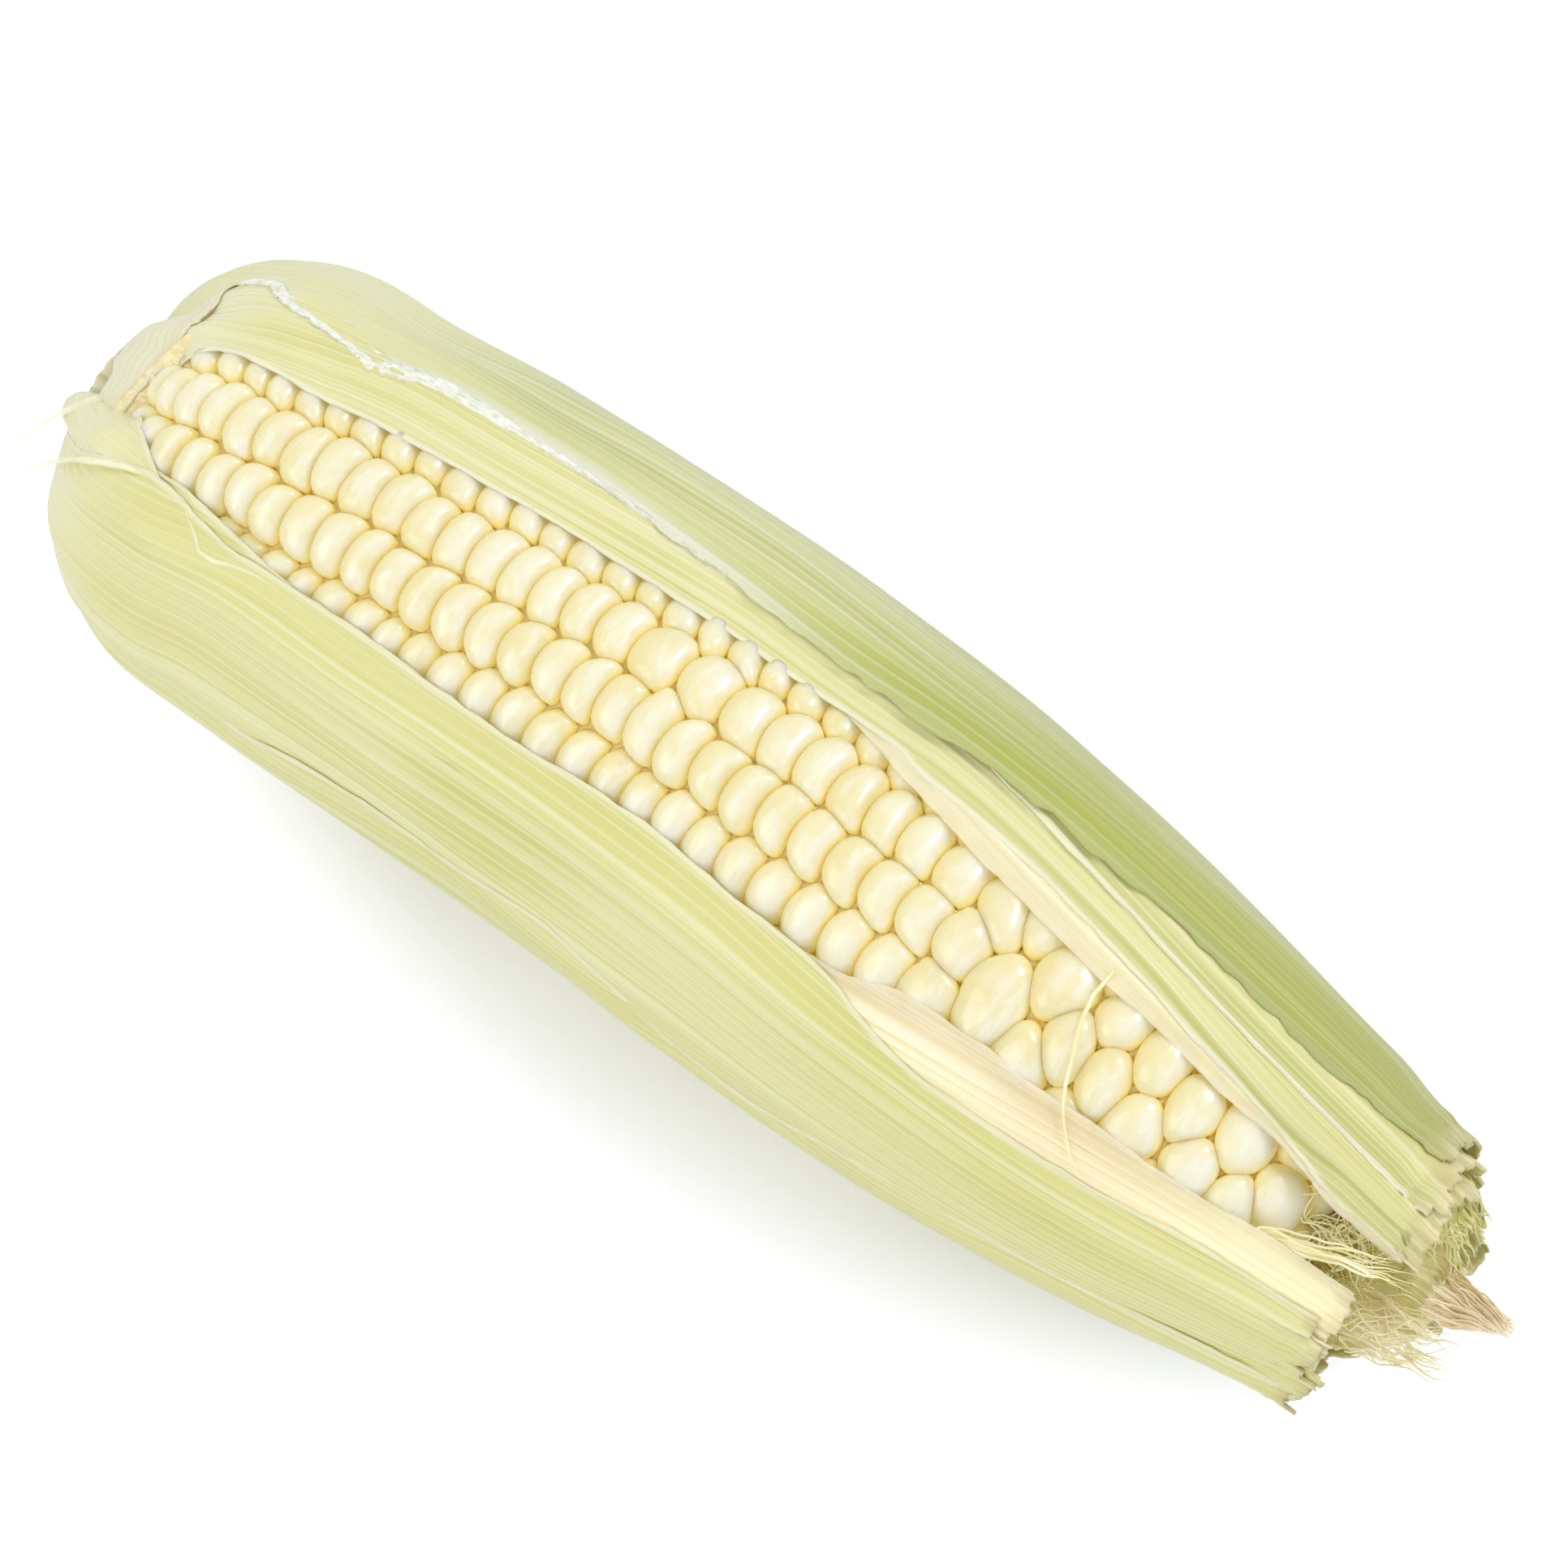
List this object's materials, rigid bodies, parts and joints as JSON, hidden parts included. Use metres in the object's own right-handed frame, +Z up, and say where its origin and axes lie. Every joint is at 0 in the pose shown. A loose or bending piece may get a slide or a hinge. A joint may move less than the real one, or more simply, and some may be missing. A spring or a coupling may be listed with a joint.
{
  "type": "corn cob",
  "caption": "Ear of white corn in its pale green husk, torn open along the front to show the kernels, with trimmed leaf ends and silk at the tip. Food and kitchen dressing.",
  "frame": {"origin": "middle of the overall box in plan, at the surface the ear lies on", "axes": "+X along the ear from the butt to the cut husk and silk, +Z up, the torn opening faces up and toward -Y"},
  "size_m": [0.2088, 0.0606, 0.0545],
  "materials": {
    "kernels": "moist cream kernels with a soft gloss",
    "shank": "pale fibrous cut stalk",
    "husk_tan": "thin dry-edged inner leaf",
    "husk_pale": "pale yellow-green ribbed leaf",
    "husk_cream": "cream papery leaf base",
    "husk_green": "green ribbed outer leaf, satin",
    "silk_pale": "fine pale silk strands",
    "silk_dried": "dry pinkish-brown silk"
  },
  "bodies": {
    "root": {"cob": "kernels", "shank": "shank", "leaf_inner_upper": "husk_tan", "leaf_inner_lower": "husk_tan", "leaf_inner_back": "husk_pale", "leaf_upper_second": "husk_pale", "leaf_lower_second": "husk_pale", "leaf_back_second": "husk_pale", "leaf_lower_main": "husk_pale", "leaf_upper_third": "husk_pale", "leaf_butt_cap": "husk_cream", "leaf_upper_outer": "husk_green", "leaf_butt_flap": "husk_cream", "leaf_lower_outer": "husk_pale", "leaf_back_outer": "husk_green", "silk_tuft": "silk_pale", "silk_dried_tail": "silk_dried", "silk_strand": "silk_pale"}
  },
  "joints": []
}
